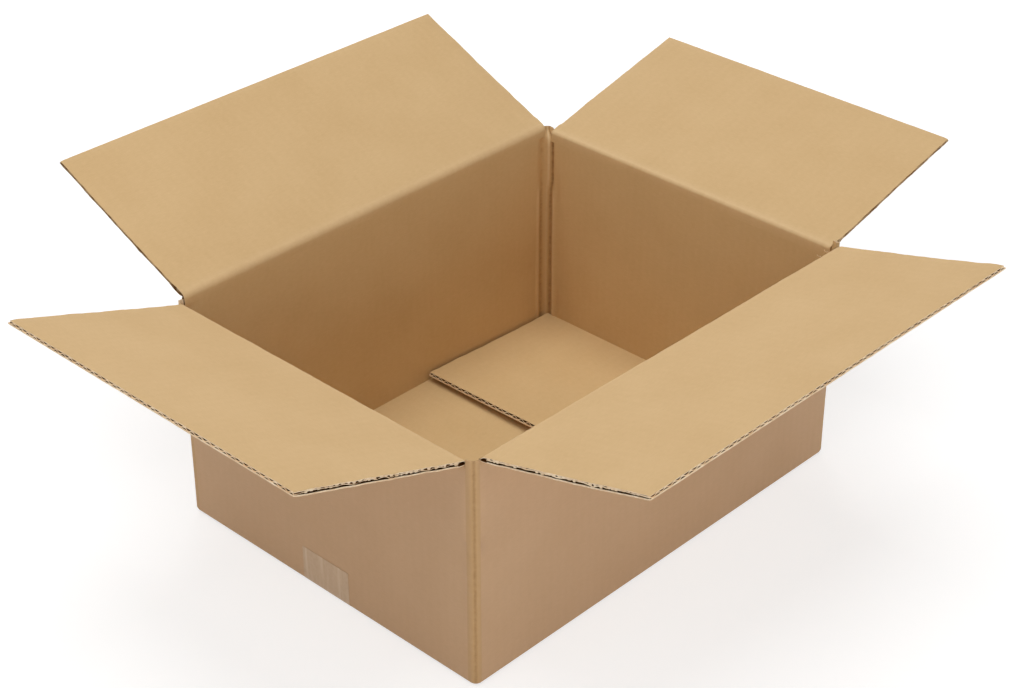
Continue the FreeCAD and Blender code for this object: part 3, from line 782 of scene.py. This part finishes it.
def rolled_paper(centre, radius, low, high, start, turns):
    """Torn strip of paper rolled into a small upright curl."""
    steps = 14
    inner = np.empty((3, steps, 3))
    outer = np.empty((3, steps, 3))
    sheet = np.empty((3, steps, 2))
    for column in range(steps):
        share = column / (steps - 1)
        angle = start + turns * math.tau * share
        reach = radius * (1 - 0.45 * share)
        for row in range(3):
            fall = 1 - 0.35 * share + 0.12 * ripple(column * 0.7, row, 3.0, radius / MM)
            z = low + (high - low) * row / 2 * fall
            for grid, depth in ((inner, 0.0), (outer, 0.3 * MM)):
                grid[row, column] = (centre[0] + math.cos(angle) * (reach + depth),
                                     centre[1] + math.sin(angle) * (reach + depth), z)
            sheet[row, column] = (reach * angle, z)
    return slab(inner, outer, sheet, (CUT_EDGE, INNER_KRAFT, CUT_EDGE))


def corner_curls():
    """Torn curls at the cut tops of two corners, and two flakes beside the front fold."""
    return [rolled_paper((201.2 * MM, -152.4 * MM), 2.7 * MM, 184 * MM, 198 * MM, 2.4, 1.3),
            rolled_paper((-200.8 * MM, 152.8 * MM), 1.8 * MM, 182 * MM, 192 * MM, -0.6, 1.1),
            rolled_paper((191.5 * MM, -150.4 * MM), 1.7 * MM, 186 * MM, 192.2 * MM, 1.6, 0.8),
            rolled_paper((182 * MM, -150.4 * MM), 1.6 * MM, 186.5 * MM, 192.0 * MM, 2.2, 0.7)]


finish_piece(carton_walls(), "box", ("carton",))


# The bottom

TAPE = 0.2 * MM
BOTTOM_HALF = 197.5 * MM
SHORT_BOTTOM_HALF = 150.5 * MM
SHORT_BOTTOM_FLAP = 151 * MM
# Height of a short bottom flap's middle, and how far its free edge has sprung up: evenly, and more in front
SHORT_BOTTOM_HEIGHT = 6.5 * MM
LIFT = 5.0 * MM
FRONT_LIFT = 5.5 * MM


def flat_flap(low, high, offset):
    """Long bottom flap, lying on the tape."""
    columns = np.linspace(low[0], high[0], 60)
    lines = np.linspace(low[1], high[1], 20)
    across, along = np.meshgrid(columns, lines)
    inner = np.stack((across, along, np.full_like(across, high[2])), axis=-1)
    outer = np.stack((across, along, np.full_like(across, low[2])), axis=-1)
    for row in (0, -1):
        for column in range(len(columns)):
            inner[row, column, 1] += 0.25 * MM * ripple(columns[column] / MM * 0.3, row, 0.0, offset[0])
            outer[row, column, 1] = inner[row, column, 1]
    sheet = np.stack((across + offset[0], along + offset[1]), axis=-1)
    return slab(inner, outer, sheet, (BOTTOM_KRAFT_BRIGHTENED, OUTER_KRAFT, CRUSHED_EDGE))


for label, facing in (("front", -1), ("back", 1)):
    reach = sorted((facing * 1.0 * MM, facing * 153 * MM))
    board = flat_flap((-BOTTOM_HALF, reach[0], TAPE), (BOTTOM_HALF, reach[1], TAPE + BOARD),
                      (6.0 + facing, 2.0))
    finish_piece(piece_mesh(f"{label}_bottom_flap", [board]), "box")

for label, facing in (("left", -1), ("right", 1)):
    # The panel's frame lies on its back: X along the fold, Y down, Z towards the middle
    turn = Matrix(((0, 0, -facing), (-facing, 0, 0), (0, -1, 0))).to_4x4()
    hinge = facing * (INNER_X + HALF_BOARD)
    place = Matrix.Translation((hinge, 0, SHORT_BOTTOM_HEIGHT)) @ turn
    board = fluted_board(SHORT_BOTTOM_HALF, 2 * MM, SHORT_BOTTOM_FLAP, 6.0 + facing,
                         (9.0 + facing, 4.0), (0.1, 0.06), (BOTTOM_KRAFT_BRIGHTENED, BOTTOM_EDGE_BRIGHTENED), BOTTOM_SWELL)
    mesh = piece_mesh(f"{label}_bottom_flap", board, place)
    for point in mesh.vertices:
        away = (hinge - point.co.x) * facing / SHORT_BOTTOM_FLAP
        near = blend_step((150 * MM - point.co.y) / (300 * MM))
        point.co.z += (LIFT + FRONT_LIFT * near) * away ** 2
    finish_piece(mesh, "box")


# The glued tab inside the front wall

TAB_WIDTH = 35 * MM
TAB_THICKNESS = 3 * MM
TAB_TAPER = 9 * MM
TAB_FOOT = 14 * MM
TAB_TOP = 184 * MM


def glue_tab():
    rows, columns = 24, 14
    inner = np.empty((rows, columns, 3))
    outer = np.empty((rows, columns, 3))
    for row in range(rows):
        for column in range(columns):
            share = column / (columns - 1)
            up = row / (rows - 1)
            low = TAB_FOOT + TAB_TAPER * share
            high = TAB_TOP - TAB_TAPER * share
            x = INNER_X - 0.2 * MM - TAB_WIDTH * share
            z = low + (high - low) * up
            thick = TAB_THICKNESS * (1 - 0.25 * blend_step((share - 0.8) / 0.2))
            bulge = 0.15 * MM * ripple(x / MM * 0.1, z / MM * 0.1, 0.0)
            inner[row, column] = (x, -INNER_Y + thick + bulge, z)
            outer[row, column] = (x, -INNER_Y - 0.3 * MM, z)
    sheet = inner[:, :, [0, 2]] + np.array((12.0, 0.5))
    return piece_mesh("glue_tab", [slab(inner, outer, sheet, (INNER_KRAFT, OUTER_KRAFT, CUT_EDGE))])


finish_piece(glue_tab(), "box")


# The tape

TAPE_HALF = 25 * MM
TAPE_TOP = 32 * MM


def seam_film():
    """Clear tape along the bottom seam and up both short walls."""
    radius = BOARD + TAPE
    path = [(OUTER_X + TAPE, z, (-1.0, 0.0)) for z in np.linspace(TAPE_TOP, radius, 12)]
    for step in range(1, 7):
        angle = math.pi / 2 * step / 6
        path.append((INNER_X + radius * math.cos(angle), radius - radius * math.sin(angle),
                     (-math.cos(angle), math.sin(angle))))
    path += [(x * MM, 0.0, (0.0, 1.0)) for x in np.linspace(196, 0, 24)]
    path += [(-x, z, (-inward[0], inward[1])) for x, z, inward in reversed(path[:-1])]
    lines = np.linspace(-TAPE_HALF, TAPE_HALF, 21)
    outer = np.empty((len(path), len(lines), 3))
    inner = np.empty_like(outer)
    sheet = np.empty((len(path), len(lines), 2))
    for row, (x, z, inward) in enumerate(path):
        for column, y in enumerate(lines):
            lift = 0.12 * MM * max(0.0, ripple(y / MM * 0.25, z / MM * 0.05, 3.0, x))
            lift *= blend_step(z / (8 * MM))
            outer[row, column] = (x - inward[0] * lift, y, z - inward[1] * lift)
            inner[row, column] = (x + inward[0] * 0.14 * MM, y, z + inward[1] * 0.14 * MM)
            sheet[row, column] = (y, row * 4 * MM)
    return piece_mesh("seam_film", [slab(inner, outer, sheet, (SEAM_FILM, SEAM_FILM, SEAM_FILM))])


finish_piece(seam_film(), "box", ("seam_tape",))


# Stage, light and camera

FLOOR_HALF = 8.0
FLOOR_DROP = 0.0002


def seen_directly(tree):
    """1 for a ray from the camera or a gloss, and 0 for one that lights a surface."""
    path = add_node(tree, "ShaderNodeLightPath").outputs
    mirrored = math_node(tree, "MAXIMUM", path["Is Glossy Ray"], path["Is Transmission Ray"])
    return math_node(tree, "MAXIMUM", path["Is Camera Ray"], mirrored)


def pale_floor():
    material, tree = new_material("pale_floor")
    bounce = add_node(tree, "ShaderNodeBsdfDiffuse", {"Color": (0.82, 0.82, 0.82, 1.0)}).outputs[0]
    shade = add_node(tree, "ShaderNodeBsdfDiffuse", {"Color": (0.45, 0.45, 0.45, 1.0)}).outputs[0]
    # The lamps' light fades away from the middle, and the glow makes up for it
    place = add_node(tree, "ShaderNodeTexCoord").outputs["Object"]
    distance = add_node(tree, "ShaderNodeVectorMath", {0: place}, operation="LENGTH").outputs["Value"]
    strength = ranged(tree, distance, 0.7, 3.0, 0.69, 1.0)
    glow = add_node(tree, "ShaderNodeEmission", {"Color": (1, 1, 1, 1), "Strength": strength}).outputs[0]
    white = add_node(tree, "ShaderNodeAddShader", {0: shade, 1: glow}).outputs[0]
    surface = add_node(tree, "ShaderNodeMixShader", {0: seen_directly(tree), 1: bounce, 2: white}).outputs[0]
    add_node(tree, "ShaderNodeOutputMaterial", {"Surface": surface})
    return material


def studio_floor():
    mesh = bpy.data.meshes.new("floor")
    corners = ((-FLOOR_HALF, -FLOOR_HALF), (FLOOR_HALF, -FLOOR_HALF), (FLOOR_HALF, FLOOR_HALF),
               (-FLOOR_HALF, FLOOR_HALF))
    mesh.from_pydata([(x, y, -FLOOR_DROP) for x, y in corners], [], [(0, 1, 2, 3)])
    mesh.materials.append(pale_floor())
    floor = bpy.data.objects.new("floor", mesh)
    bpy.context.scene.collection.objects.link(floor)


def studio_sky():
    """White world that lights the object only softly."""
    world = bpy.context.scene.world or bpy.data.worlds.new("studio")
    bpy.context.scene.world = world
    world.use_nodes = True
    tree = world.node_tree
    tree.nodes.clear()
    light, white = (add_node(tree, "ShaderNodeBackground", {"Color": (1, 1, 1, 1), "Strength": level})
                    for level in (0.19, 1.0))
    mix = add_node(tree, "ShaderNodeMixShader", {0: seen_directly(tree), 1: light.outputs[0],
                                                 2: white.outputs[0]}).outputs[0]
    add_node(tree, "ShaderNodeOutputWorld", {"Surface": mix})


studio_floor()
studio_sky()


def softbox(name, place, aim, size, watts):
    """Square lamp at a place, turned to what it aims at."""
    light = bpy.data.lights.new(name, "AREA")
    light.shape = "RECTANGLE"
    light.size, light.size_y = size, size
    light.energy = watts
    lamp = bpy.data.objects.new(name, light)
    lamp.location = place
    lamp.rotation_mode = "QUATERNION"
    lamp.rotation_quaternion = (Vector(aim) - Vector(place)).to_track_quat("-Z", "Y")
    bpy.context.scene.collection.objects.link(lamp)


LAMP_AIM = (0, 0, 0.1)
for name, place, size, watts in (
        ("overhead_light", (0.0, 0.0, 2.7), 1.8, 35), ("back_light", (0.2, 1.7, 2.0), 1.6, 5),
        ("left_light", (-1.7, 0.2, 2.0), 1.6, 8), ("front_light", (-0.2, -1.7, 2.0), 1.6, 3),
        ("low_left_fill", (-2.1, -0.6, 0.45), 1.0, 7), ("low_front_fill", (-0.2, -2.2, 0.4), 1.0, 11.5),
        ("low_back_fill", (1.7, 1.9, 0.9), 1.0, 13)):
    softbox(name, place, LAMP_AIM, size, watts)

CAMERA_AZIMUTH = math.radians(-46.39)
CAMERA_ELEVATION = math.radians(31.68)
CAMERA_DISTANCE = 1.69543
CAMERA_TARGET = Vector((0.00498, 0.00805, 0.12274))
camera_data = bpy.data.cameras.new("camera")
camera_data.sensor_width = 36
camera_data.lens = 76.41
camera = bpy.data.objects.new("camera", camera_data)
back = Vector((math.sin(CAMERA_AZIMUTH) * math.cos(CAMERA_ELEVATION),
               -math.cos(CAMERA_AZIMUTH) * math.cos(CAMERA_ELEVATION), math.sin(CAMERA_ELEVATION)))
camera.location = CAMERA_TARGET + back * CAMERA_DISTANCE
camera.rotation_mode = "QUATERNION"
camera.rotation_quaternion = (-back).to_track_quat("-Z", "Y")
camera_data.clip_start, camera_data.clip_end = 0.05, 50
bpy.context.scene.collection.objects.link(camera)
bpy.context.scene.camera = camera

bpy.context.scene.view_settings.view_transform = "Standard"
